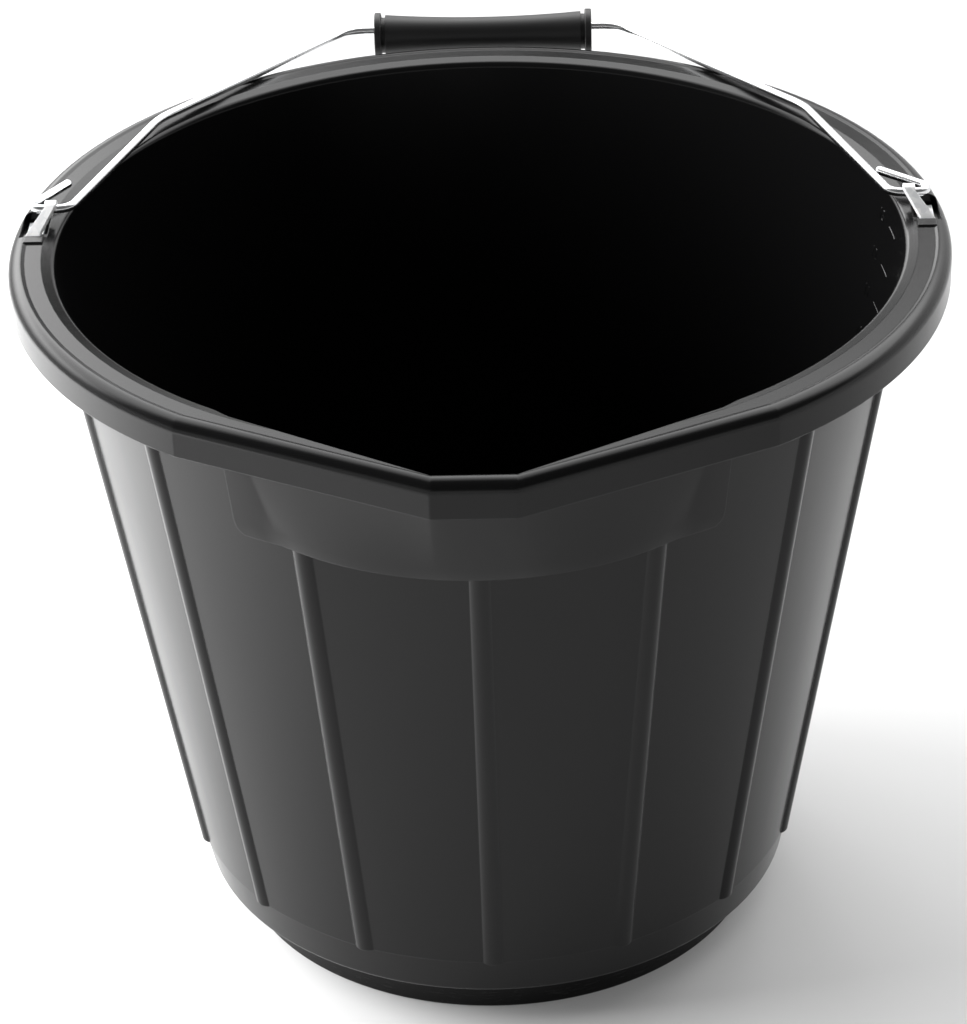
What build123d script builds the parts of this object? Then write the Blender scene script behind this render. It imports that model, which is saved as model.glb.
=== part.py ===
from build123d import *
from math import acos, asin, atan2, cos, degrees, hypot, radians, sin, sqrt, tan
import os

# Builders bucket with a pouring spout, in millimetres.
# The origin is the middle of the base on the ground: +Z is up, -Y faces the spout, +X is the right ear.

# Vessel: a tapered wall on a stepped base
height = 268.0  # ground to the flat top of the rim
mouth_radius = 152.0  # outside of the wall, carried up to the rim's top
waist_radius = 115.0  # outside of the wall at the line where the ribs end
band_height = 32.0  # ground to that line
band_step = 0.5  # how far the wall stands proud of the plain band below the line
base_inset = 3.3  # the band leans in by this much down to the base corner
base_corner = 2.5  # rounding of the base corner
step_height = 16.0  # ground to the underside of the base corner
foot_inset = 11.0  # the foot is this much smaller than the base corner
foot_draft = 0.8  # the foot grows by this much from the ground up
foot_edge = 1.2  # rounding of the foot where it meets the ground
wall = 2.3  # wall thickness
floor = 3.0  # floor thickness
floor_corner = 2.0  # rounding inside, round the floor

# Rim: the wall turned out flat, rolled over and turned down as a skirt
rim_width = 14.0  # wall to the outside of the skirt
rim_depth = 13.0  # flat top to the skirt's lower edge
rim_roll = 4.5  # rounding between the flat top and the skirt
rim_plate = 2.4  # thickness of the flat top
skirt = 2.2  # thickness of the skirt
skirt_edge = 0.6  # rounding of the skirt's lower edge, outside
bead_rise = 0.4  # how far the rolled edge stands above the flat top
bead_slope = 1.1  # width of the slope from the flat top up to it
bead_crest = 0.3  # width of its level crest
bevel_width = 4.6  # bevel round the mouth, measured in from the flat top
bevel_depth = 1.1  # how far the bevel falls
mouth_edge = 2.5  # rounding between the bevel and the inside of the wall

# Spout: straight flanks that run from the round rim to a short flat lip
spout_start = 36.0  # degrees each side of the front where the rim turns straight
spout_reach = 11.0  # how far the lip stands out from the round rim
spout_lip = 28.0  # length of the flat lip
spout_corner = 2.0  # rounding of the lip's two corners
spout_lip_rim = 7.4  # width of the rim across the lip
channel_depth = 50.0  # flat top of the rim down to the underside of the channel's floor
channel_foot_reach = 10.5  # how far the channel bulges out from the wall at its floor
channel_foot_angle = 26.5  # degrees each side of the front where that bulge meets the panel
channel_bevel = 1.5  # bevel along the channel's upper inner edges
channel_blend = 10.0  # degrees past each flank over which the channel dies out into the wall
channel_heel = 0.5  # how far inside the wall it has died out by then

# Panel: a thicker patch of wall round the channel
panel_margin = 2.0  # degrees from the end of a flank to the end of the panel
panel_relief = 2.0  # how far it stands out from the wall
panel_slope = 2.6  # length over which its ends slope down to the wall
panel_corner = 6.0  # rounding of its two lower corners
panel_edge = 1.6  # rounding of its lower edge

# Ribs: shallow rounded beads down the wall
rib_count = 15
rib_width = 7.0
rib_relief = 1.4

# Ear pockets: slots through the flat top, each with a moulded cross bar for a strap
pocket_front = 1.5  # from the ear line of the bucket back to the pocket's front edge
pocket_length = 20.5
pocket_margin = 1.5  # wall to the pocket's inner edge
pocket_skirt = 2.7  # what the pocket leaves of the rim on its outer side
pocket_web = 2.5  # thickness of the webs that close the pocket's two ends
ear_pad_rise = 0.7  # how far the pad round the pocket stands up
ear_pad_edge = 0.5  # rounding of the pad's upper edges
ear_pad_margin = 5.0  # how far the pad runs past the pocket's ends
bar_diameter = 2.8
bar_sink = 0.4  # flat top down to the bar's upper side
bar_setback = 4.0  # pocket's front edge to the bar's axis
seat_depth = 3.4  # depth of the ledge that the strap's lower leg rests on

# Ear straps: steel strip folded round the bar, then curled round the bail
strap_thickness = 1.2
strap_inner_gap = 2.5  # pocket's inner wall to the fold
strap_outer_gap = 1.5  # fold to the pocket's outer wall
strap_end_gap = 1.5  # end of the lower leg to the pocket's back wall
strap_lean = 5.4  # how far the upper leg leans in from the fold to the curl
strap_eye_width = 4.0  # at the curl
strap_bar_gap = 0.1  # strip to bar, all round
strap_eye_gap = 0.35  # strip to bail wire, all round
curl_end = 60.0  # degrees below level, at the back, where the curl stops

# Bail: one wire, bent in a plane
wire = 3.2  # diameter
pivot_rise = 5.5  # flat top up to the swing axis
pivot_setback = 11.7  # pocket's front edge back to the swing axis
bail_rest_gap = 0.3  # wire to rim where the bail lies folded back
corner_margin = 10.6  # end of the grip to the corner where the bail's top ends
shoulder_inset = 42.1  # pocket's outer wall to the bail's shoulder corner
shoulder_reach = 80.4  # swing axis to the shoulder corner
arm_foot_gap = 4.5  # strap's eye to the corner where the arm turns out towards it
hook_gap = 0.9  # strap's eye to the start of the hook's bend
hook_tail = 19.0  # straight tail after that bend
hook_tail_gap = 0.6  # tip of the right hook to the arm
hook_spring = 17.0  # degrees that the left hook stands more open than the right one
top_bend = 14.0  # bend radii, on the wire's middle line
shoulder_bend = 30.0
arm_bend = 6.0
hook_bend = 3.6

# Grip: a waisted tube between two flanges, loose on the wire
grip_length = 86.0
grip_flange = 17.8  # diameter of the end flanges
grip_flange_width = 2.6
grip_neck = 14.0  # diameter of the groove inside each flange
grip_neck_width = 1.6
grip_end = 16.0  # diameter of the tube at its ends
grip_waist = 13.0  # diameter of the tube at its middle
grip_bore = 8.0
grip_edge = 0.5  # rounding of the flanges
grip_hang_gap = 0.3  # wire to the top of the bore, where the grip hangs
grip_rim_gap = 4.5  # grip to the rim behind which it hangs

over = 2.0  # how far a cutting solid runs past the face that it opens

# Worked out from the sizes above
taper = (mouth_radius - waist_radius) / (height - band_height)
rim_radius = mouth_radius + rim_width
lip_reach = rim_radius + spout_reach
base_radius = waist_radius - band_step - base_inset
foot_radius = base_radius - foot_inset
skirt_foot = height - rim_depth
channel_floor = height - channel_depth
pocket_inner = mouth_radius + pocket_margin
pocket_outer = rim_radius - pocket_skirt
pocket_back = pocket_front + pocket_length
bar_y = pocket_front + bar_setback
bar_z = height - bar_sink - bar_diameter / 2
pivot_y = pocket_front + pivot_setback
pivot_z = height + pivot_rise
fold_inner = pocket_inner + strap_inner_gap
fold_outer = pocket_outer - strap_outer_gap
eye_inner = fold_inner - strap_lean
eye_outer = eye_inner + strap_eye_width
lip_half = spout_lip / 2
channel_reach = lip_reach - spout_lip_rim + wall
# The channel's flanks run from the lip's corners until they touch the panel's round face
corner_distance = hypot(lip_half, channel_reach)
flank_turn = acos((mouth_radius + panel_relief) / corner_distance)
flank_angle = degrees(atan2(lip_half, channel_reach) + flank_turn)
corner_share = tan(radians(flank_angle / 2))
bail_reach = rim_radius + grip_rim_gap + grip_flange / 2 - pivot_y


def wall_radius(z):
    """Outside radius of the wall at height z."""
    return mouth_radius - (height - z) * taper


def turned(points, radii):
    """Solid turned about Z from a closed outline of (radius, height) points with rounded corners."""
    outline = FilletPolyline(*points, radius=radii, close=True)
    return revolve(make_face(Plane.XZ * outline), Axis.Z)


def vessel_outside():
    """The filled outside of the vessel, up to the flat top."""
    points = [
        (0, 0),
        (foot_radius, 0),
        (foot_radius + foot_draft, step_height),
        (base_radius, step_height),
        (waist_radius - band_step, band_height),
        (waist_radius, band_height),
        (mouth_radius, height),
        (0, height),
    ]
    return turned(points, [0, foot_edge, 0, base_corner, 0, 0, 0, 0])


def vessel_inside():
    """The space inside the wall, with the bevel round the mouth."""
    inner_mouth = mouth_radius - wall
    bevel_foot = height - bevel_depth
    points = [
        (0, floor),
        (foot_radius - wall, floor),
        (foot_radius + foot_draft - wall, step_height + wall),
        (base_radius - wall, step_height + wall),
        (waist_radius - band_step - wall, band_height),
        (inner_mouth - bevel_depth * taper, bevel_foot),
        (inner_mouth + bevel_width, height),
        (inner_mouth + bevel_width, height + over),
        (0, height + over),
    ]
    return turned(points, [0, floor_corner, 0, floor_corner, 0, mouth_edge, 0, 0, 0])


def rim_outline(inset):
    """Face of the rim seen from above, drawn in all round by inset: a circle with a pouring lip."""
    radius = rim_radius - inset
    turn = radians(spout_start)
    side = radius * sin(turn)
    front = -radius * cos(turn)
    corner = spout_lip / 2
    reach = lip_reach - inset
    round_part = ThreePointArc((side, front), (0, radius), (-side, front))
    front_part = FilletPolyline(
        (-side, front),
        (-corner, -reach),
        (corner, -reach),
        (side, front),
        radius=spout_corner,
    )
    return make_face(round_part.edges() + front_part.edges())


def rolled_block(inset, low, high, roll):
    """The rim's outline carried from one height to another, with its upper edge rounded."""
    solid = Pos(0, 0, low) * extrude(rim_outline(inset), high - low)
    return fillet(solid.edges().group_by(Axis.Z)[-1], roll)


def flat_top_cut():
    """What is cut away down to the flat top, inside the rolled edge's crest."""
    crest_inset = rim_roll + bead_crest
    low = Pos(0, 0, height) * rim_outline(crest_inset + bead_slope)
    high = Pos(0, 0, height + 2 * bead_rise) * rim_outline(crest_inset - bead_slope)
    return loft([low, high], ruled=True)


def rim():
    """The rim's flat top, rolled edge and skirt, still closed over the mouth."""
    solid = rolled_block(0, skirt_foot, height + bead_rise, rim_roll)
    solid = fillet(solid.edges().group_by(Axis.Z)[0], skirt_edge)
    hollow = rolled_block(skirt, skirt_foot - over, height - rim_plate, rim_roll - skirt)
    return solid - hollow - flat_top_cut()


def from_front(radius, angle):
    """Point at a distance from the axis, so many degrees to the right of the front."""
    return Vector(radius * sin(radians(angle)), -radius * cos(radians(angle)))


def channel_foot(inset):
    """Points on the right half of the channel's front at its floor, one arc that bulges from the panel."""
    reach = wall_radius(channel_floor) + channel_foot_reach - inset
    end = from_front(wall_radius(channel_floor) + panel_relief - inset, channel_foot_angle)
    sag = reach + end.Y
    radius = (end.X**2 + sag**2) / (2 * sag)
    corner = lip_half - inset * corner_share
    across = [0, corner, (corner + end.X) / 2, end.X]
    return [Vector(x, radius - reach - sqrt(radius**2 - x**2)) for x in across]


def channel_lip(inset):
    """The same points at the flat top: the middle and corner of the lip, the middle and end of a flank."""
    middle = Vector(0, inset - channel_reach)
    corner = Vector(lip_half - inset * corner_share, middle.Y)
    end = from_front(mouth_radius + panel_relief - inset, flank_angle)
    return [middle, corner, (corner + end) / 2, end]


def channel_front(z, inset):
    """The same points at height z, on the way from the foot's arc to the lip's straight lines."""
    share = (z - channel_floor) / channel_depth
    return [low + (high - low) * share for low, high in zip(channel_foot(inset), channel_lip(inset))]


def spout_face(front, side, z):
    """Level face at height z: the channel's front, then side edges to the axis, on both sides."""
    middle, corner, flank, end = front
    right = [ThreePointArc(corner, flank, end), *side]
    lip = ThreePointArc(Vector(-corner.X, corner.Y), middle, corner)
    edges = [lip, *right, *[mirror(edge, about=Plane.YZ) for edge in right]]
    return Pos(0, 0, z) * make_face(edges)


def panel_face(z, inset, short):
    """Level face of the channel and its panel, drawn in by inset, with the panel's ends cut short."""
    front = channel_front(z, inset)
    skin = wall_radius(z) + panel_relief - inset
    flank_end = degrees(atan2(front[-1].X, -front[-1].Y))
    panel_end = flank_angle + panel_margin - degrees(short / skin)
    heel = from_front(wall_radius(z) - channel_heel, panel_end + degrees(panel_slope / skin))
    edge = from_front(skin, panel_end)
    round_face = ThreePointArc(front[-1], from_front(skin, (flank_end + panel_end) / 2), edge)
    return spout_face(front, [round_face, Line(edge, heel), Line(heel, (0, 0))], z)


def spout_outside():
    """The filled outside of the channel and its panel, rounded along the foot and at its two corners."""
    faces = []
    for turn in (0, 30, 60, 90):
        rise = panel_corner * (1 - cos(radians(turn)))
        short = panel_corner * (1 - sin(radians(turn)))
        inset = panel_edge - sqrt(panel_edge**2 - max(panel_edge - rise, 0) ** 2)
        faces.append(panel_face(channel_floor + rise, inset, short))
    faces.append(panel_face(height - rim_plate / 2, 0, 0))
    return loft(faces, ruled=True)


def channel_space(*levels):
    """Solid inside the channel through its levels, each a height and how far it is drawn in there."""
    faces = []
    for z, inset in levels:
        front = channel_front(z, inset)
        heel = from_front(wall_radius(z) - wall - channel_heel, flank_angle + channel_blend)
        faces.append(spout_face(front, [Line(front[-1], heel), Line(heel, (0, 0))], z))
    return loft(faces, ruled=True)


def channel_inside():
    """The space inside the channel, and the bevel along its upper edges."""
    space = channel_space((channel_floor + wall, wall), (height + over, wall))
    bevel = channel_space((height - channel_bevel, wall), (height + over, wall - channel_bevel - over))
    return [space, bevel]


def ribs():
    """Rounded beads down the wall, each a round bar let into the wall, ending level at the band."""
    bead = (rib_relief**2 + (rib_width / 2) ** 2) / (2 * rib_relief)
    depth = bead - rib_relief
    top = height - rim_plate
    low = Vector(wall_radius(0) - depth, 0, 0)
    high = Vector(wall_radius(height) - depth, 0, height)
    bar = sweep(Plane(low, z_dir=high - low) * Circle(bead), Line(low, high))
    reach = rim_radius
    keep = Pos(0, 0, (band_height + top) / 2) * Box(2 * reach, 2 * reach, top - band_height)
    one = bar & keep
    return [Rot(0, 0, -90 + 360 / rib_count * turn) * one for turn in range(rib_count)]


def block(x, y, z):
    """Box between pairs of x, y and z."""
    size = Box(x[1] - x[0], y[1] - y[0], z[1] - z[0])
    return Pos(sum(x) / 2, sum(y) / 2, sum(z) / 2) * size


def ear_pad():
    """The right ear's pad, a little above the flat top, out to the middle of the rolled edge's crest."""
    low = height - rim_plate / 2
    plan = Pos(0, 0, low) * extrude(rim_outline(rim_roll + bead_crest / 2), rim_plate / 2 + ear_pad_rise)
    pad = plan & block(
        (mouth_radius - wall + bevel_width, rim_radius),
        (pocket_front - ear_pad_margin, pocket_back + ear_pad_margin),
        (low, height + ear_pad_rise),
    )
    return fillet(pad.edges().group_by(Axis.Z)[-1], ear_pad_edge)


def ear_inner_pieces():
    """What stands between wall and skirt at the right ear: end webs, cross bar and the strap's seat."""
    across = (mouth_radius - rim_width, rim_radius)
    upright = (skirt_foot + rim_plate, height)
    leg_under = bar_z - bar_diameter / 2 - strap_bar_gap - strap_thickness
    pieces = [
        block(across, (pocket_front - pocket_web, pocket_front), upright),
        block(across, (pocket_back, pocket_back + pocket_web), upright),
        block(
            (fold_inner, rim_radius),
            (bar_y + bar_diameter, pocket_back + pocket_web / 2),
            (leg_under - seat_depth, leg_under),
        ),
        Plane((mouth_radius, bar_y, bar_z), z_dir=(1, 0, 0)) * Cylinder(bar_diameter / 2, 2 * rim_width),
    ]
    # They end half way into the skirt and the flat top
    room = rolled_block(skirt / 2, skirt_foot, height - rim_plate / 2, rim_roll - skirt / 2)
    return [piece & room for piece in pieces]


def pocket():
    """The slot through the right ear's flat top."""
    return block(
        (pocket_inner, pocket_outer),
        (pocket_front, pocket_back),
        (skirt_foot - over, height + ear_pad_rise + over),
    )


def both_sides(shape):
    """A shape of the right ear, and its mirror image at the left ear."""
    return [shape, mirror(shape, about=Plane.YZ)]


def bucket_body():
    """The whole moulding."""
    shell = rim() + both_sides(ear_pad())
    shell -= both_sides(pocket())
    for piece in ear_inner_pieces():
        shell += both_sides(piece)
    shell += [vessel_outside(), spout_outside()]
    shell += ribs()
    shell -= [vessel_inside(), *channel_inside()]
    return shell


def strap_lines():
    """The strip's middle line in the (Y, Z) plane: fold round the bar, upper leg, curl round the wire."""
    fold = bar_diameter / 2 + strap_bar_gap + strap_thickness / 2
    curl = wire / 2 + strap_eye_gap + strap_thickness / 2
    bar_at = Vector(bar_y, bar_z)
    wire_at = Vector(pivot_y, pivot_z)
    along = wire_at - bar_at
    lean = degrees(atan2(along.Y, along.X)) + 90 - degrees(asin((fold - curl) / along.length))
    fold_arc = CenterArc(bar_at, fold, 270, lean - 270)
    curl_arc = CenterArc(wire_at, curl, lean, -curl_end - lean)
    lower_leg = Line((pocket_back - strap_end_gap, bar_z - fold), fold_arc @ 0)
    upper_leg = Line(fold_arc @ 1, curl_arc @ 0)
    return lower_leg, fold_arc, upper_leg, curl_arc


def ear_strap():
    """The right ear's strap: the strip's outline across its lines, cut to its width from above."""
    strip = Plane.YZ * trace(list(strap_lines()), strap_thickness)
    sheet = extrude(strip, rim_radius)
    fold_front = bar_y - bar_diameter / 2 - strap_bar_gap - strap_thickness
    curl_front = pivot_y - wire / 2 - strap_eye_gap - strap_thickness / 2
    back = pocket_back + strap_thickness
    upper_plan = Polyline(
        (fold_inner, fold_front),
        (fold_outer, fold_front),
        (eye_outer, curl_front),
        (eye_outer, back),
        (eye_inner, back),
        (eye_inner, pivot_y - wire / 2),
        (fold_inner, bar_y - bar_diameter / 2),
        close=True,
    )
    upper = Pos(0, 0, bar_z) * extrude(make_face(upper_plan), pivot_z)
    lower = block((fold_inner, fold_outer), (fold_front, back), (skirt_foot, bar_z))
    return (sheet & upper) + (sheet & lower)


def bail_corners():
    """The bail's corners on one side in its own plane: the top's end, the shoulder and the arm's foot."""
    top = Vector(grip_length / 2 + corner_margin, bail_reach)
    shoulder = Vector(pocket_outer - shoulder_inset, shoulder_reach)
    arm_foot = Vector(eye_inner - arm_foot_gap, 0)
    return [top, shoulder, arm_foot]


def bail_plane():
    """Plane of the bail folded back: X across, Y from the swing axis to the grip, lying on the rim."""
    top, shoulder, _ = bail_corners()
    start = shoulder + Vector(0, pivot_y)
    run = top - shoulder
    # Where the run from shoulder to top passes over the outer edge of the rim's crest
    flat_edge = rim_radius - rim_roll
    half_b = start.dot(run)
    spare = start.dot(start) - flat_edge**2
    share = (sqrt(half_b**2 - run.dot(run) * spare) - half_b) / run.dot(run)
    reach = shoulder.Y + share * run.Y
    tilt = asin((pivot_rise - bead_rise - wire / 2 - bail_rest_gap) / reach)
    return Plane((0, pivot_y, pivot_z), x_dir=(1, 0, 0), z_dir=(0, sin(tilt), cos(tilt)))


def hook_turn():
    """Degrees that the right hook turns back, so that its tip stops beside the arm."""
    _, shoulder, arm_foot = bail_corners()
    arm = (shoulder - arm_foot).normalized()
    off_arm = Vector(arm.Y, -arm.X)
    centre = Vector(eye_outer + hook_gap, hook_bend) - arm_foot
    reach = hypot(hook_bend, hook_tail)
    swing = acos((wire + hook_tail_gap - centre.dot(off_arm)) / reach)
    return degrees(swing + atan2(off_arm.Y, off_arm.X) + atan2(hook_bend, hook_tail))


def bail_side(turn):
    """One side's corners from the top down to the tip of a hook that turns back by so many degrees."""
    back = radians(turn)
    bend_length = hook_bend * tan(back / 2)
    hook = Vector(eye_outer + hook_gap + bend_length, 0)
    tip = hook + Vector(cos(back), sin(back)) * (bend_length + hook_tail)
    return bail_corners() + [hook, tip]


def bail_wire():
    """The bail: a round wire swept along its bends, with rounded tips."""
    right = bail_side(hook_turn())
    left = [Vector(-corner.X, corner.Y) for corner in bail_side(hook_turn() - hook_spring)]
    bends = [top_bend, shoulder_bend, arm_bend, hook_bend]
    path = bail_plane() * FilletPolyline(*left[::-1], *right, radius=bends[::-1] + bends)
    rod = sweep((path ^ 0) * Circle(wire / 2), path)
    tips = [Pos(path @ end) * Sphere(wire / 2) for end in (0, 1)]
    return rod + tips


def grip():
    """The grip, hanging from the wire by the top of its bore."""
    half = grip_length / 2
    neck_end = half - grip_flange_width
    body_end = neck_end - grip_neck_width
    waist = ThreePointArc((-body_end, grip_end / 2), (0, grip_waist / 2), (body_end, grip_end / 2))
    right = [
        (body_end, grip_end / 2),
        (body_end, grip_neck / 2),
        (neck_end, grip_neck / 2),
        (neck_end, grip_flange / 2),
        (half, grip_flange / 2),
        (half, grip_bore / 2),
    ]
    left = [(-x, y) for x, y in reversed(right)]
    right_side = FilletPolyline(*right, radius=[0, 0, grip_edge, grip_edge])
    left_side = FilletPolyline(*left, radius=[grip_edge, grip_edge, 0, 0])
    bore = Line(right[-1], left[0])
    section = make_face(waist.edges() + right_side.edges() + bore.edges() + left_side.edges())
    body = revolve(section, Axis.X)
    drop = grip_bore / 2 - wire / 2 - grip_hang_gap
    return bail_plane() * Pos(0, bail_reach, -drop) * body


os.makedirs("parts", exist_ok=True)
right_strap = ear_strap()
nodes = {
    "bucket_body": bucket_body(),
    "ear_strap_left": mirror(right_strap, about=Plane.YZ),
    "ear_strap_right": right_strap,
    "bail_wire": bail_wire(),
    "grip": grip(),
}
for name, shape in nodes.items():
    export_step(shape, f"parts/{name}.step")
    print(name, "volume", round(shape.volume), "mm3")
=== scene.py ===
# %% [markdown]
# # Dressing a builders bucket
# The bucket is one black plastic moulding with a pouring spout, two folded steel straps at its ears, a
# bent wire bail and a loose plastic grip. The solids arrive at their real size, in metres, and stay where
# they are. This lesson gives them a camera, finishes, small moulded details, a floor and soft light.

# %% Load the solids
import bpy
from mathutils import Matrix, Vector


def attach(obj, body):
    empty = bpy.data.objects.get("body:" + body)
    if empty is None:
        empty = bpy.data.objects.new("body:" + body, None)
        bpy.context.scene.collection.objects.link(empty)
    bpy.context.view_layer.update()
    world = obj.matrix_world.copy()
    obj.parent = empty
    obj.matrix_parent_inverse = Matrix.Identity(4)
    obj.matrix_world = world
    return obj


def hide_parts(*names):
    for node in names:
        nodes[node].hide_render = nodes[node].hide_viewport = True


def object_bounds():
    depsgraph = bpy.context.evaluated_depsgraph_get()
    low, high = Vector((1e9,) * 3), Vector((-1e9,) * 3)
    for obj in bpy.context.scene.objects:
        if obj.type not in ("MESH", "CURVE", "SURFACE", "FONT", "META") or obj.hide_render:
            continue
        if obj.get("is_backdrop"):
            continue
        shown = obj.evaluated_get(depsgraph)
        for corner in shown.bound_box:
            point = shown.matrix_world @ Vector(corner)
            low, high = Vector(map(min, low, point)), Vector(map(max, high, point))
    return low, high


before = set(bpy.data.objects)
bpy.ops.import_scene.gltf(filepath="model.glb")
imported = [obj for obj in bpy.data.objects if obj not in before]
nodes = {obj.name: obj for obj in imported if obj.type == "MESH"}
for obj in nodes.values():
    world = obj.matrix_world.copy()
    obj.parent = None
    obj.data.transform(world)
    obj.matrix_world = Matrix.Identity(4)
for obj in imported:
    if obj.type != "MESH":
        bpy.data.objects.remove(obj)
cad_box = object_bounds()
print("pieces:", sorted(nodes))
print("size in mm:", [round(1000 * side, 1) for side in cad_box[1] - cad_box[0]])

# %% [markdown]
# ## Camera
# The picture looks down into the bucket from the spout's side, from about 1.4 m away through a long lens,
# so the wall's taper and the rim's ellipse keep their proportions. A camera can be placed by eye, but
# five values say the same thing exactly: where it stands, how far it looks down, turns and leans, and its
# focal length in pixels. From these come three axes, and the axes are the columns of the camera's matrix.

# %% Set up the camera
import bpy
from math import cos, pi, sin
from mathutils import Matrix, Vector

PICTURE_HEIGHT = 1024  # pixels, the long side, which the sensor's width covers
FOCAL_PIXELS = 3484.1
SENSOR_MM = 36.0
CAMERA_PLACE = Vector((0.02442, -1.10782, 0.81313))
LOOK_DOWN = 0.5377  # radians below level
LOOK_ASIDE = -0.0233  # radians, negative towards the left ear
LEAN = -0.0301

forward = Vector((sin(LOOK_ASIDE) * cos(LOOK_DOWN), cos(LOOK_ASIDE) * cos(LOOK_DOWN), -sin(LOOK_DOWN)))
level = Vector((cos(LOOK_ASIDE), -sin(LOOK_ASIDE), 0))
upright = level.cross(forward)
across = cos(LEAN) * level + sin(LEAN) * upright
up = cos(LEAN) * upright - sin(LEAN) * level

scene = bpy.context.scene
camera = bpy.data.objects.new("camera", bpy.data.cameras.new("camera"))
camera.data.sensor_width = SENSOR_MM
camera.data.lens = FOCAL_PIXELS * SENSOR_MM / PICTURE_HEIGHT
camera.matrix_world = Matrix.Translation(CAMERA_PLACE) @ Matrix((across, up, -forward)).transposed().to_4x4()
scene.collection.objects.link(camera)
scene.camera = camera
scene.view_settings.view_transform = "Standard"
print("lens:", round(camera.data.lens, 1), "mm")

# %% [markdown]
# ## Shader sums as plain Python
# A finish is a web of nodes, and wiring it by hand hides what it says. So one small class wraps a socket:
# adding, taking away or multiplying wrapped sockets and numbers makes the Math node for it. A second
# class holds a web of nodes while it is made, and one method of it adds any other kind of node. A finish
# is such a web, and so is the light of the studio.

# %% A value that varies over a surface
class Reading:
    """A socket's value, which can be used in sums with numbers and with other readings."""

    def __init__(self, socket):
        self.socket = socket

    def sum(self, operation, first, second):
        """Adds a Math node for two values, of which one at least is a reading."""
        node = self.socket.id_data.nodes.new("ShaderNodeMath")
        node.operation = operation
        plug(node.inputs[0], first)
        plug(node.inputs[1], second)
        return Reading(node.outputs[0])

    def __add__(self, other):
        return self.sum("ADD", self, other)

    def __sub__(self, other):
        return self.sum("SUBTRACT", self, other)

    def __rsub__(self, other):
        return self.sum("SUBTRACT", other, self)

    def __mul__(self, other):
        return self.sum("MULTIPLY", self, other)

    __radd__ = __add__
    __rmul__ = __mul__


def plug(slot, value):
    """Links a reading to a socket, or sets the socket to a plain number, colour or vector."""
    if isinstance(value, Reading):
        slot.id_data.links.new(value.socket, slot)
    else:
        slot.default_value = value


# %% A web of nodes
class Web:
    """The nodes of one material or of the world."""

    def __init__(self, tree):
        self.tree = tree

    def node(self, kind, settings, inputs, output=0):
        """Adds a node: its settings first, then its sockets' values or links. Gives one of its outputs."""
        made = self.tree.nodes.new("ShaderNode" + kind)
        for name, value in settings.items():
            setattr(made, name, value)
        for slot, value in inputs.items():
            plug(made.inputs[slot], value)
        return Reading(made.outputs[output])

    def place(self):
        """Where a point of the piece is, in metres."""
        return self.node("TexCoord", {}, {}, "Object")

    def parts(self, vector):
        """The x, y and z of a vector."""
        split = self.node("SeparateXYZ", {}, {0: vector})
        return [Reading(socket) for socket in split.socket.node.outputs]

    def stretched(self, vector, scale):
        """A place with each direction scaled by its own number."""
        return self.node("VectorMath", {"operation": "MULTIPLY"}, {0: vector, 1: scale})

    def noise(self, vector, per_metre, detail=2, rough=0.5):
        """Soft random clouds between 0 and 1."""
        inputs = {"Vector": vector, "Scale": per_metre, "Detail": detail, "Roughness": rough}
        return self.node("TexNoise", {}, inputs)

    def ease(self, value, low, high):
        """0 below low, 1 above high, with a soft step between."""
        limits = {"Value": value, "From Min": low, "From Max": high}
        return self.node("MapRange", {"interpolation_type": "SMOOTHSTEP"}, limits)

    def tint(self, share, first, second):
        """First colour, giving way to the second as share goes from 0 to 1."""
        # A Mix node has sockets for each kind of data: its colours are inputs 6 and 7 and output 2.
        return self.node("Mix", {"data_type": "RGBA"}, {0: share, 6: first, 7: second}, 2)

    def rounded(self, radius, samples=6):
        """A surface direction that rolls over sharp edges, as if they had a small radius."""
        return self.node("Bevel", {"samples": samples}, {"Radius": radius})

    def relief(self, height, direction):
        """A surface direction that follows a height in metres, on top of another direction."""
        return self.node("Bump", {}, {"Height": height, "Distance": 1.0, "Normal": direction})


# %% A material in the making
class Finish(Web):
    """A material with one general surface shader."""

    def __init__(self, name):
        self.material = bpy.data.materials.new(name)
        self.material.use_nodes = True
        super().__init__(self.material.node_tree)
        self.shader = self.tree.nodes["Principled BSDF"]

    def set(self, **inputs):
        """Sets or links the shader's own sockets."""
        for name, value in inputs.items():
            plug(self.shader.inputs[name.replace("_", " ")], value)
        print(self.material.name, "has", len(self.tree.nodes), "nodes")
        return self.material


# %% [markdown]
# ## Black polypropylene
# The bucket is moulded in black polypropylene with a satin skin. It reads as plastic through three
# things: a very dark colour, a gloss that wanders a little from place to place, and a skin that isn't
# quite flat. Broad waves come from the plastic shrinking, fine streaks run up the wall where it was drawn
# off the mould, and the foot is scuffed. All of these are noise at sizes given in metres, so the finish
# needs no image and no unwrapped surface. A mould has no knife edges either, so the shading rolls over
# every edge by a fraction of a millimetre. The specular level is about half the usual one, which keeps
# the wall dark where it mirrors the pale floor.

# %% Bucket finish
MOULD_EDGE = 0.0005  # metres, the radius that a mould leaves on every edge
BUCKET_BLACK = (0.003, 0.003, 0.0031, 1)
SCUFFED_BLACK = (0.02, 0.02, 0.0195, 1)
SCUFF_RISE = (0.004, 0.03)  # metres above the ground between which the scuffs die out
SCUFF_EDGE = (0.52, 0.7)  # cloud values between which a scuff sets in
WAVE_DEPTH = 0.00012  # metres, of the broad waves
STREAK_DEPTH = 0.000002  # of the streaks up the wall
GRAIN_DEPTH = 0.000001  # of the mould's grain


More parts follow.
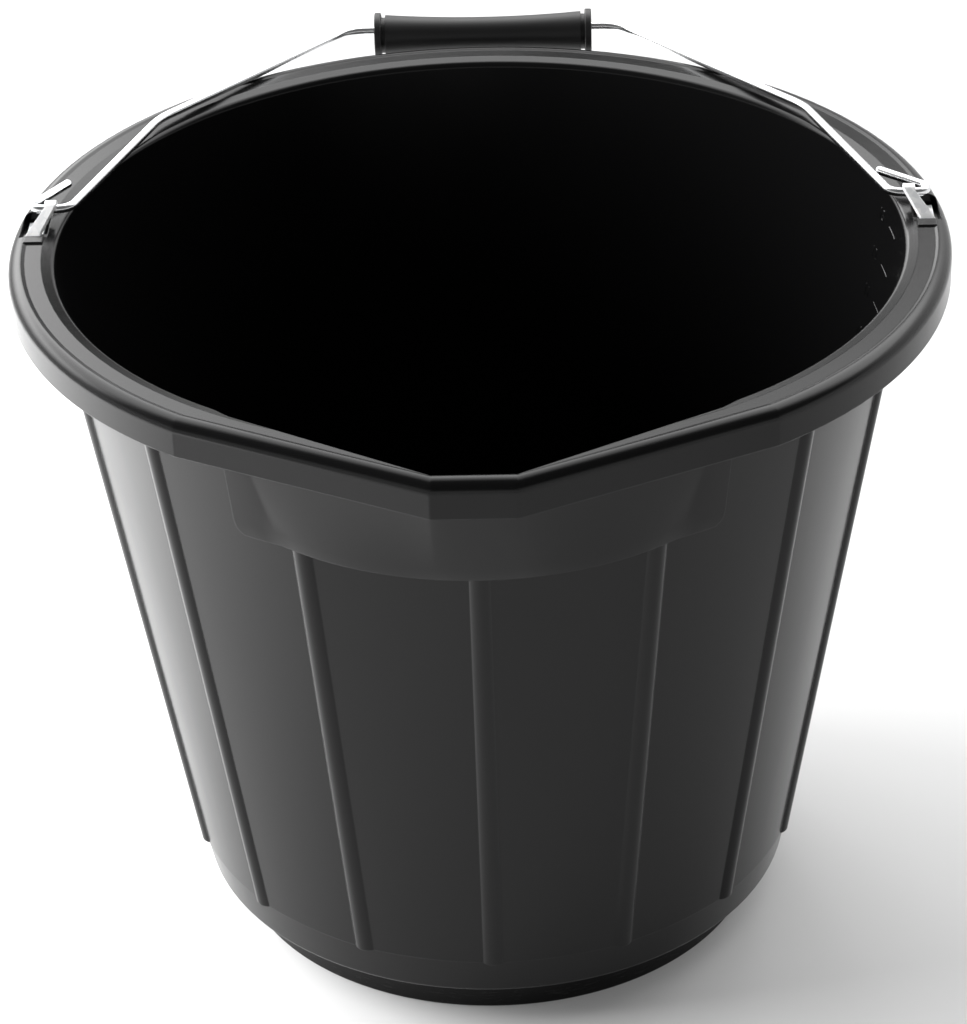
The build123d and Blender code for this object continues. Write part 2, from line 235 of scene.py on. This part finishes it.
def bucket_plastic():
    """Satin black moulding with broad waves, draw streaks and a scuffed foot."""
    finish = Finish("bucket_plastic")
    place = finish.place()
    _, _, z = finish.parts(place)
    clouds = finish.noise(place, per_metre=22, detail=3)
    streaks = finish.noise(finish.stretched(place, (1, 1, 0.02)), per_metre=420)
    waves = finish.noise(place, per_metre=11, detail=1)
    grain = finish.noise(place, per_metre=1400)
    scuffs = finish.noise(finish.stretched(place, (1, 1, 6)), per_metre=160, detail=4, rough=0.7)
    foot = 1 - finish.ease(z, *SCUFF_RISE)
    worn = foot * finish.ease(scuffs, *SCUFF_EDGE)
    skin = waves * WAVE_DEPTH + streaks * STREAK_DEPTH + grain * GRAIN_DEPTH
    return finish.set(
        Base_Color=finish.tint(worn * 0.5, BUCKET_BLACK, SCUFFED_BLACK),
        Roughness=0.13 + clouds * 0.08 + streaks * 0.05 + worn * 0.2,
        IOR=1.49,
        Specular_IOR_Level=0.24,
        Normal=finish.relief(skin, finish.rounded(MOULD_EDGE)),
    )


# %% [markdown]
# ## Grip
# The grip is a softer plastic, a little duller than the bucket, with fine lines left along it by the
# mould. Lines could be cut into the mesh, but these are finer than any triangle. Noise that is drawn out
# along the grip turns into such lines, and a relief of a hundredth of a millimetre is enough for the
# gloss to show them.

# %% Grip finish
GRIP_BLACK = (0.003, 0.003, 0.0032, 1)
GRIP_GREY = (0.006, 0.006, 0.006, 1)
LINE_DEPTH = 0.000012  # metres, of the lines along the grip


def grip_plastic():
    """Dull black moulding with fine lines along its length."""
    finish = Finish("grip_plastic")
    place = finish.place()
    lines = finish.noise(finish.stretched(place, (0.03, 1, 1)), per_metre=900)
    clouds = finish.noise(place, per_metre=60, detail=3)
    return finish.set(
        Base_Color=finish.tint(clouds, GRIP_BLACK, GRIP_GREY),
        Roughness=0.42 + clouds * 0.1 + lines * 0.06,
        IOR=1.5,
        Normal=finish.relief(lines * LINE_DEPTH, finish.rounded(MOULD_EDGE)),
    )


# %% [markdown]
# ## Zinc
# The bail is bright zinc-plated wire, a little cloudy and finely pitted. The straps are stamped from
# galvanised strip, whose zinc froze in flat crystals that each shine a little differently. A pattern of
# cells gives such a patchwork from one node: every cell has a colour of its own, and one part of it is
# the shine. A strap that is all metal mirrors the dark parts of the studio, so it is a quarter metal, and
# the rest is pale grey like weathered zinc.

# %% Wire and strap finishes
WIRE_ZINC = (0.78, 0.79, 0.81, 1), (0.9, 0.9, 0.9, 1)  # cloudy and bright
STRAP_ZINC = (0.76, 0.77, 0.78, 1), (0.92, 0.92, 0.92, 1)  # dull and bright crystals
WIRE_PITS = 0.000004  # metres deep
STRAP_PITS = 0.000006
STAMPED_EDGE = 0.00025  # metres, the radius along the edges of a stamped strip


def bail_steel():
    """Bright zinc-plated wire with cloudy patches."""
    finish = Finish("bail_steel")
    place = finish.place()
    clouds = finish.noise(place, per_metre=90, detail=4)
    specks = finish.noise(place, per_metre=2600)
    return finish.set(
        Base_Color=finish.tint(clouds, *WIRE_ZINC),
        Metallic=1.0,
        Roughness=0.16 + clouds * 0.14 + specks * 0.05,
        Normal=finish.node("Bump", {}, {"Height": specks * WIRE_PITS, "Distance": 1.0}),
    )


def strap_steel():
    """Galvanised strip with zinc crystals."""
    finish = Finish("strap_steel")
    place = finish.place()
    crystals = finish.node("TexVoronoi", {}, {"Vector": place, "Scale": 420}, "Color")
    shine, _, _ = finish.parts(crystals)
    specks = finish.noise(place, per_metre=1800, detail=3)
    return finish.set(
        Base_Color=finish.tint(shine, *STRAP_ZINC),
        Metallic=0.25,
        Roughness=0.28 + shine * 0.14 + specks * 0.08,
        Normal=finish.relief(specks * STRAP_PITS, finish.rounded(STAMPED_EDGE)),
    )


# %% [markdown]
# ## Skins that shade truly
# The solids come as triangles, long thin ones on the wall and tiny ones round the rim, and each face of a
# solid comes as a patch of its own. Shading that averages the triangles leaves saw teeth along every
# rounding. But the corners of the triangles lie exactly on the true face, and nearly every face here was
# either turned about the bucket's axis or drawn along a straight line. Seen end on, such a face is a
# straight line or an arc, and a line or an arc is easily fitted. So each solid gets a skin: its own
# triangles, with the directions of the true faces. Faces of other kinds keep an average that is crisp at
# sharp folds. The skin stands for the solid and moves with it.
#
# Directions don't change an outline, and along the foot long triangles cut across the rounding. So the
# edges that cut across a turned rounding are split, and each new corner is put on the rounding's arc.
#
# One shape is changed on the way. Between two ribs the wall of a real bucket sinks by a millimetre as it
# cools, which shows as a step in the gloss at every rib. So the skin's wall panels are drawn in, most in
# the middle of a panel and under the rim, and their directions follow.

# %% Fit the true faces
import numpy

FIT = 0.000003  # metres that the corners may stray from a line or an arc


def line_of(points):
    """Direction square to the line that points in a plane lie on, or None."""
    offsets = points - points.mean(axis=0)
    square = numpy.linalg.svd(offsets, full_matrices=False)[2][1]
    return square if abs(offsets @ square).max() < FIT else None


def arc_of(points):
    """Centre and radius of the arc that points in a plane lie on, or None."""
    middle = points.mean(axis=0)
    offsets = points - middle
    terms = numpy.column_stack((2 * offsets, numpy.ones(len(points))))
    centre = numpy.linalg.lstsq(terms, (offsets**2).sum(axis=1), rcond=None)[0][:2]
    lengths = numpy.linalg.norm(offsets - centre, axis=1)
    return (middle + centre, lengths.mean()) if numpy.ptp(lengths) < 2 * FIT else None


def profile_directions(points):
    """Directions square to the line or arc that points in a plane lie on, or None if they lie on neither."""
    square = line_of(points)
    if square is not None:
        return numpy.tile(square, (len(points), 1))
    arc = arc_of(points)
    return None if arc is None else (points - arc[0]) / arc[1]


def drawn_directions(points, facets):
    """Directions on a face drawn along a straight line, whose facets all stand square to one plane."""
    plane = numpy.linalg.svd(facets, full_matrices=True)[2][:2]
    profile = profile_directions(points @ plane.T)
    return None if profile is None else profile @ plane


def turned_profile(points):
    """How far points are from the bucket's axis, and how high."""
    return numpy.column_stack((numpy.hypot(points[:, 0], points[:, 1]), points[:, 2]))


def turned_directions(points):
    """Directions on a face that was turned about the bucket's axis."""
    profile = turned_profile(points)
    square = profile_directions(profile)
    if square is None or profile[:, 0].min() < FIT:
        return None
    outward = points[:, :2] / profile[:, :1]
    return numpy.column_stack((outward * square[:, :1], square[:, 1]))


# %% Round the roundings
import bmesh
from collections import defaultdict

CUT_ACROSS = 0.00002  # metres by which an edge may cut across a turned rounding
ROUNDING_LEAST = 40  # triangles, a smaller patch may fit an arc by chance
SPLIT_ROUNDS = 6


def turned_roundings(shape, patch):
    """Centre and radius of the profile of each patch that was turned about the axis with a round profile."""
    corners = defaultdict(list)
    for face in shape.faces:
        corners[face[patch]] += [corner.co for corner in face.verts]
    roundings = {}
    for number, points in corners.items():
        profile = turned_profile(numpy.array(points))
        if len(points) < 3 * ROUNDING_LEAST or line_of(profile) is not None:
            continue
        arc = arc_of(profile)
        if arc is not None:
            roundings[number] = Vector(arc[0]), float(arc[1])
    return roundings


def half_way(edge):
    """The middle of an edge in the profile: its distance from the axis and its height."""
    first, second = [corner.co for corner in edge.verts]
    return Vector((first.xy.length + second.xy.length, first.z + second.z)) / 2


def split_edge(edge, centre, radius):
    """Splits an edge half way along, at a new corner on a rounding."""
    reach, height = centre + radius * (half_way(edge) - centre).normalized()
    outward = (edge.verts[0].co + edge.verts[1].co).xy.normalized()
    corner = bmesh.utils.edge_split(edge, edge.verts[0], 0.5)[1]
    corner.co = (reach * outward.x, reach * outward.y, height)
    return corner


def cut_across(face, fresh):
    """Cuts a face with new corners into triangles, with an edge across it from each of them."""
    while len(face.verts) > 3:
        before_new = [loop for loop in face.loops if loop.link_loop_next.vert in fresh]
        old = next(loop for loop in before_new if loop.vert not in fresh)
        other = bmesh.utils.face_split(face, old.link_loop_prev.vert, old.link_loop_next.vert)[0]
        face = max(face, other, key=lambda part: len(part.verts))


def refine_roundings(shape):
    """Splits the edges that cut across turned roundings until they follow them."""
    patch = shape.faces.layers.int["patch"]
    roundings = turned_roundings(shape, patch)
    for _ in range(SPLIT_ROUNDS):
        coarse = {}
        for face in shape.faces:
            if face[patch] not in roundings:
                continue
            centre, radius = roundings[face[patch]]
            for edge in face.edges:
                if abs((half_way(edge) - centre).length - radius) > CUT_ACROSS:
                    coarse[edge] = centre, radius
        fresh = {split_edge(edge, *rounding) for edge, rounding in coarse.items()}
        for face in [face for face in shape.faces if len(face.verts) > 3]:
            cut_across(face, fresh)
    print(len(roundings), "turned roundings, with", len(coarse), "edges left to split")


# %% Let the panels sink
from math import tau

RIB_COUNT = 15
RIB_STEP = tau / RIB_COUNT  # turn from one rib to the next, starting at the middle of the front
PANEL_LEAST = 0.15  # metres, a turned face taller than this that faces out is a panel of the wall
SINK_LOW = 0.0004  # metres, in the middle of a panel at its foot
SINK_HIGH = 0.0016  # the same at its top


def is_wall_panel(points, directions):
    """Whether a turned face is tall and faces away from the axis."""
    return numpy.ptp(points[:, 2]) > PANEL_LEAST and (points[:, :2] * directions[:, :2]).sum() > 0


def sunk(points, directions):
    """Points and directions of a wall panel drawn in between its ribs."""
    x, y, z = points.T
    reach = numpy.hypot(x, y)
    across = 2 * (numpy.arctan2(x, -y) / RIB_STEP % 1) - 1
    sink = numpy.interp(z, (z.min(), z.max()), (SINK_LOW, SINK_HIGH))
    drawn_in = (reach - sink * (1 - across**2)) / reach
    slope = 4 * sink * across / (reach * RIB_STEP)
    along = numpy.column_stack((-y, x, 0 * z)) / reach[:, None]
    turned = directions - slope[:, None] * along
    turned /= numpy.linalg.norm(turned, axis=1, keepdims=True)
    return numpy.column_stack((x * drawn_in, y * drawn_in, z)), turned


# %% Weld the triangles
from math import radians

CRISP_FOLD = radians(28)  # on a face of another kind, a fold sharper than this stays an edge
WELD = 0.000002  # metres between corners that are one corner


def number_patches(shape):
    """Numbers the patches of triangles that share corners, one patch for each face of the solid."""
    number = shape.faces.layers.int.new("patch")
    count = 0
    for face in shape.faces:
        if face[number]:
            continue
        count += 1
        waiting = [face]
        while waiting:
            found = waiting.pop()
            if not found[number]:
                found[number] = count
                waiting += [other for corner in found.verts for other in corner.link_faces]


def welded_mesh(node):
    """A copy of a solid's triangles in one piece, with its patches numbered and its roundings refined."""
    shape = bmesh.new()
    shape.from_mesh(nodes[node].data)
    number_patches(shape)
    bmesh.ops.remove_doubles(shape, verts=shape.verts, dist=WELD)
    refine_roundings(shape)
    for face in shape.faces:
        face.smooth = True
    for edge in shape.edges:
        edge.smooth = edge.calc_face_angle(pi) < CRISP_FOLD
    mesh = bpy.data.meshes.new(node + "_skin")
    shape.to_mesh(mesh)
    shape.free()
    # Directions that came with the solid give way to those of the folds.
    if "custom_normal" in mesh.attributes:
        mesh.attributes.remove(mesh.attributes["custom_normal"])
    return mesh


# %% Set the true directions
AGREE = 0.95  # cosine that most triangles have to the mean of their corners' fitted directions


def numbers_of(items, name, width, kind=float):
    """One property of many items as a table with so many columns."""
    table = numpy.empty(len(items) * width, dtype=kind)
    items.foreach_get(name, table)
    return table.reshape(-1, width)


def patch_directions(corners, facets):
    """Directions of the true face at the corners of one patch, and whether it was turned, or None."""
    found = drawn_directions(corners, facets)
    turned = found is None
    if turned:
        found = turned_directions(corners)
    if found is None:
        return None
    found *= numpy.sign((found * numpy.repeat(facets, 3, axis=0)).sum())
    agreement = (found.reshape(-1, 3, 3).mean(axis=1) * facets).sum(axis=1)
    return None if numpy.median(agreement) < AGREE else (found, turned)


def true_directions(mesh):
    """Gives a mesh the directions of its true faces, sinks its panels and counts the faces found."""
    points = numbers_of(mesh.vertices, "co", 3)
    places = points.copy()
    facets = numbers_of(mesh.polygons, "normal", 3)
    triangles = numbers_of(mesh.polygons, "vertices", 3, int)
    patches = numbers_of(mesh.attributes["patch"].data, "value", 1, int)[:, 0]
    directions = numbers_of(mesh.corner_normals, "vector", 3).reshape(-1, 3, 3)
    fitted = 0
    for patch in numpy.unique(patches):
        mine = patches == patch
        corners = points[triangles[mine]].reshape(-1, 3)
        face = patch_directions(corners, facets[mine])
        if face is None:
            continue
        square, turned = face
        if turned and is_wall_panel(corners, square):
            corners, square = sunk(corners, square)
            places[triangles[mine].ravel()] = corners
        directions[mine] = square.reshape(-1, 3, 3)
        fitted += 1
    mesh.vertices.foreach_set("co", places.ravel())
    mesh.normals_split_custom_set(directions.reshape(-1, 3))
    return fitted


# %% Make the skins
def skin(node, body, slot, material):
    """A solid's own triangles with true shading, in the solid's place."""
    mesh = welded_mesh(node)
    fitted = true_directions(mesh)
    mesh.materials.clear()
    mesh.materials.append(material)
    piece = bpy.data.objects.new(node + "_skin", mesh)
    scene.collection.objects.link(piece)
    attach(piece, body)
    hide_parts(node)
    print(piece.name, "has", len(mesh.polygons), "triangles, with", fitted, "true faces")


bucket_finish = bucket_plastic()
strap_finish = strap_steel()
skin("bucket_body", "bucket", "bucket_plastic", bucket_finish)
skin("ear_strap_left", "bucket", "strap_steel", strap_finish)
skin("ear_strap_right", "bucket", "strap_steel", strap_finish)
skin("bail_wire", "bail", "bail_steel", bail_steel())
skin("grip", "grip", "grip_plastic", grip_plastic())

# %% [markdown]
# ## Litre scale
# Inside the right wall stand short moulded bars, one for each litre, with plain numbers beside them. A
# scale has to be true, so its heights come from the bucket itself: rays from the axis measure how wide
# the inside is at each height, and thin slices are added up until each litre is full. Bars and numbers
# are then wrapped on the wall. They could be painted in the finish, but raised marks catch the light, so
# they are geometry.

# %% Measure the litres
from mathutils.bvhtree import BVHTree

SLICE = 0.001  # metres
LITRES = 1000  # in a cubic metre
FULL_LITRES = 13
ABOVE_FLOOR = 0.1  # metres, a height well above the floor inside
moulding = nodes["bucket_body"].data
triangles = [tuple(face.vertices) for face in moulding.polygons]
targets = BVHTree.FromPolygons([corner.co for corner in moulding.vertices], triangles)


def inside_radius(z):
    """Distance from the axis to the inside of the wall at the right ear."""
    return targets.ray_cast((0, 0, z), (1, 0, 0))[0].x


def litre_heights():
    """Heights at which the bucket holds 1, 2, 3 and more litres."""
    heights = []
    z = targets.ray_cast((0, 0, ABOVE_FLOOR), (0, 0, -1))[0].z
    held = 0.0
    while len(heights) < FULL_LITRES:
        z += SLICE
        held += LITRES * pi * inside_radius(z - SLICE / 2) ** 2 * SLICE
        if held >= len(heights) + 1:
            heights.append(z)
    return heights


litre_marks = litre_heights()
print("litres up to", round(1000 * litre_marks[-1], 1), "mm")

# %% Wrap the bars and numbers on the wall
BAR_TURN = (radians(3.3), radians(7.3))  # from the right ear towards the back
BAR_STEPS = 8
# A bar's section: how far up the wall and how far off it, in metres
BAR_SECTION = ((-0.00055, -0.0002), (-0.0003, 0.00025), (0.0003, 0.00025), (0.00055, -0.0002))
NUMBER_TURN = radians(12.4)  # where a number's left edge stands
NUMBER_SIZE = 0.0062  # metres
NUMBER_RELIEF = 0.00025


def on_wall(turn, up, off):
    """Point on the inside of the wall, so much off it."""
    reach = inside_radius(up) - off
    return Vector((reach * cos(turn), reach * sin(turn), up))


def add_bar(shape, height):
    """One bar: its section at a few turns, joined into a closed strip."""
    low, high = BAR_TURN
    turns = [low + (high - low) * step / BAR_STEPS for step in range(BAR_STEPS + 1)]
    rings = [[shape.verts.new(on_wall(turn, height + up, off)) for up, off in BAR_SECTION] for turn in turns]
    for ring, following in zip(rings, rings[1:]):
        for side in range(len(BAR_SECTION)):
            shape.faces.new((ring[side - 1], ring[side], following[side], following[side - 1]))
    shape.faces.new(rings[0])
    shape.faces.new(rings[-1][::-1])


def add_number(shape, number, height):
    """One number: flat type made solid, then bent round the wall so that it reads from inside."""
    lettering = bpy.data.curves.new("number", "FONT")
    lettering.body = str(number)
    lettering.size = NUMBER_SIZE
    lettering.extrude = NUMBER_RELIEF
    lettering.align_y = "CENTER"
    carrier = bpy.data.objects.new("number", lettering)
    flat = bpy.data.meshes.new_from_object(carrier)
    for corner in flat.vertices:
        right, up, off = corner.co
        corner.co = on_wall(NUMBER_TURN - right / inside_radius(height), height + up, off)
    shape.from_mesh(flat)
    bpy.data.meshes.remove(flat)
    bpy.data.objects.remove(carrier)
    bpy.data.curves.remove(lettering)


# %% Make the scale
shape = bmesh.new()
for number, height in enumerate(litre_marks, start=1):
    add_bar(shape, height)
    add_number(shape, number, height)
bmesh.ops.remove_doubles(shape, verts=shape.verts, dist=WELD)
bmesh.ops.recalc_face_normals(shape, faces=shape.faces)
scale_mesh = bpy.data.meshes.new("litre_scale")
shape.to_mesh(scale_mesh)
shape.free()
scale_mesh.materials.append(bucket_finish)
litre_scale = bpy.data.objects.new("litre_scale", scale_mesh)
scene.collection.objects.link(litre_scale)
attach(litre_scale, "bucket")
print("litre_scale has", len(scale_mesh.polygons), "faces")

# %% [markdown]
# ## Floor and light
# A pale floor carries the bucket's shadow. Black plastic shows little but what it mirrors: the wall leans
# out, so it mirrors the floor around the foot, and the rim mirrors what stands behind the bucket, from
# the horizon up to overhead. Lamps with edges would draw stripes along the rolled rim, so the studio's
# own sky does most of the work: it glows behind the bucket above a darker band, lower down at the left,
# and weakly at the right. One low lamp brightens the floor on the left, which the wall mirrors there. The
# lamp itself is left out of reflections.

# %% Floor
FLOOR_HALF = 3.0  # metres
FLOOR_PAPER = (0.56, 0.56, 0.56, 1)
FLOOR_GLOW = 0.1  # what the camera and reflections see on top of the light that falls on the floor


def pale_floor():
    """White paper that looks a little brighter than it is lit."""
    finish = Finish("pale_floor")
    seen = finish.node("LightPath", {}, {}, "Is Camera Ray")
    mirrored = finish.node("LightPath", {}, {}, "Is Glossy Ray")
    glow = finish.node("Emission", {}, {"Strength": (seen + mirrored) * FLOOR_GLOW})
    paper = finish.node("BsdfDiffuse", {}, {"Color": FLOOR_PAPER})
    both = finish.node("AddShader", {}, {0: glow, 1: paper})
    plug(finish.tree.nodes["Material Output"].inputs["Surface"], both)
    return finish.material


floor_mesh = bpy.data.meshes.new("floor")
corners = [(-1, -1), (1, -1), (1, 1), (-1, 1)]
floor_mesh.from_pydata([(FLOOR_HALF * x, FLOOR_HALF * y, 0) for x, y in corners], [], [(0, 1, 2, 3)])
floor_mesh.materials.append(pale_floor())
floor = bpy.data.objects.new("floor", floor_mesh)
scene.collection.objects.link(floor)
floor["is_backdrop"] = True
print("floor:", 2 * FLOOR_HALF, "m square")

# %% Sky
SKY_LOW = 1.0  # at the horizon
SKY_HIGH = 0.12  # above it
SKY_FADE = (0.05, 0.3)  # from the one to the other, as the height of a direction of length 1
BACK_GLOW = 4.6  # behind the bucket
BACK_EDGE = (0.44, 0.54)  # heights between which that glow sets in
TOP_EDGE = (0.75, 1.0)  # heights between which it weakens again
TOP_SHARE = 0.6  # what it loses overhead
LEFT_GLOW = 7.2  # at the left, below the glow behind
RIGHT_GLOW = 1.7  # at the right
SIDE_EDGE = (0.02, 0.25)  # how far to the side they set in
SIDE_RISE = (0.0, 0.45)  # heights over which they grow from the horizon up
FRONT_EDGE = (0.0, 0.4)  # how far to the back all of them set in

world = bpy.data.worlds.new("studio")
world.use_nodes = True
scene.world = world
sky = Web(world.node_tree)
x, y, z = sky.parts(sky.node("TexCoord", {}, {}, "Generated"))
above = sky.ease(z, *SKY_FADE)
behind = sky.ease(y, *FRONT_EDGE)
high = sky.ease(z, *BACK_EDGE)
back = high * BACK_GLOW * (1 - TOP_SHARE * sky.ease(z, *TOP_EDGE))
sides = sky.ease(-1 * x, *SIDE_EDGE) * LEFT_GLOW + sky.ease(x, *SIDE_EDGE) * RIGHT_GLOW
glow = behind * (back + (1 - high) * sky.ease(z, *SIDE_RISE) * sides)
backdrop = world.node_tree.nodes["Background"]
plug(backdrop.inputs["Color"], (1, 1, 1, 1))
plug(backdrop.inputs["Strength"], SKY_LOW + above * (SKY_HIGH - SKY_LOW) + glow)
print("sky made of", len(world.node_tree.nodes), "nodes")


# %% Lamp
def softbox(name, place, target, width, height, radiance):
    """A rectangular lamp that lights but isn't mirrored, so many times as bright as white paper."""
    data = bpy.data.lights.new(name, "AREA")
    data.shape = "RECTANGLE"
    data.size = width
    data.size_y = height
    data.energy = radiance * width * height * pi
    lamp = bpy.data.objects.new(name, data)
    facing = Vector(target) - Vector(place)
    lamp.matrix_world = Matrix.Translation(place) @ facing.to_track_quat("-Z", "Y").to_matrix().to_4x4()
    lamp.visible_glossy = False
    scene.collection.objects.link(lamp)
    print(name, "watts:", round(data.energy, 1))


softbox("low_left", place=(-0.8, 0.06, 0.42), target=(-0.32, 0.06, 0), width=0.8, height=0.5, radiance=18.0)

# %% [markdown]
# ## Closing
# The dressed bucket has to stay inside the box of its solids, so both boxes are written down to be
# compared.

dressed_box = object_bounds()
print("dressed size in mm:", [round(1000 * side, 1) for side in dressed_box[1] - dressed_box[0]])
